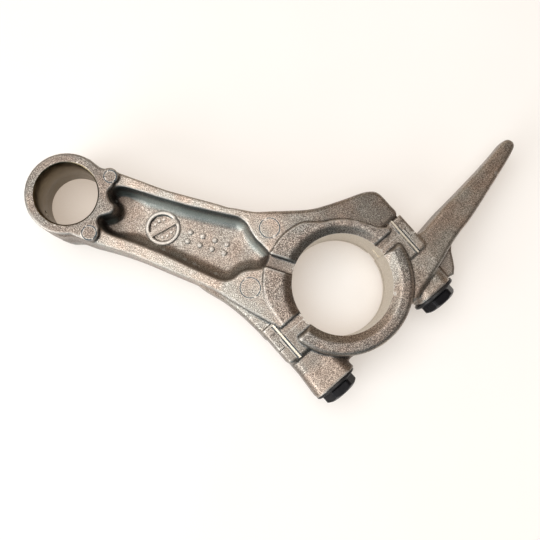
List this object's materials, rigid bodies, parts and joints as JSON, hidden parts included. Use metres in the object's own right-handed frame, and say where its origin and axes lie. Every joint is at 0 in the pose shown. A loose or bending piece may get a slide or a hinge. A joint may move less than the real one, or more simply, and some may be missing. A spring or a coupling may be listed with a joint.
{
  "type": "connecting rod",
  "caption": "Die-cast connecting rod for a small engine: I-beam shank with a piston-pin eye, and a bolted big-end cap with a stepped oblique joint and a cast oil dipper.",
  "frame": {"origin": "centre of the big-end (crankpin) bore at mid-thickness", "axes": "+Z along the crankpin axis, small end toward -X along the rod axis, oil dipper toward +Y"},
  "size_m": [0.1339, 0.0935, 0.0208],
  "materials": {
    "cast_aluminium": "fine-grained as-cast surface, bores machined bright",
    "black_steel": "black oxide"
  },
  "bodies": {
    "rod": {"rod": "cast_aluminium"},
    "cap": {"rod_cap": "cast_aluminium"},
    "bolt_upper": {"cap_bolt_upper": "black_steel"},
    "bolt_lower": {"cap_bolt_lower": "black_steel"}
  },
  "joints": [
    {"name": "cap_slide", "type": "slide", "parent": "rod", "child": "cap", "axis": [0.8572, -0.515, 0], "range_m": [0, 0.03]},
    {"name": "bolt_upper_slide", "type": "slide", "parent": "cap", "child": "bolt_upper", "axis": [0.8572, -0.515, 0], "range_m": [0, 0.034]},
    {"name": "bolt_lower_slide", "type": "slide", "parent": "cap", "child": "bolt_lower", "axis": [0.8572, -0.515, 0], "range_m": [0, 0.034]}
  ]
}
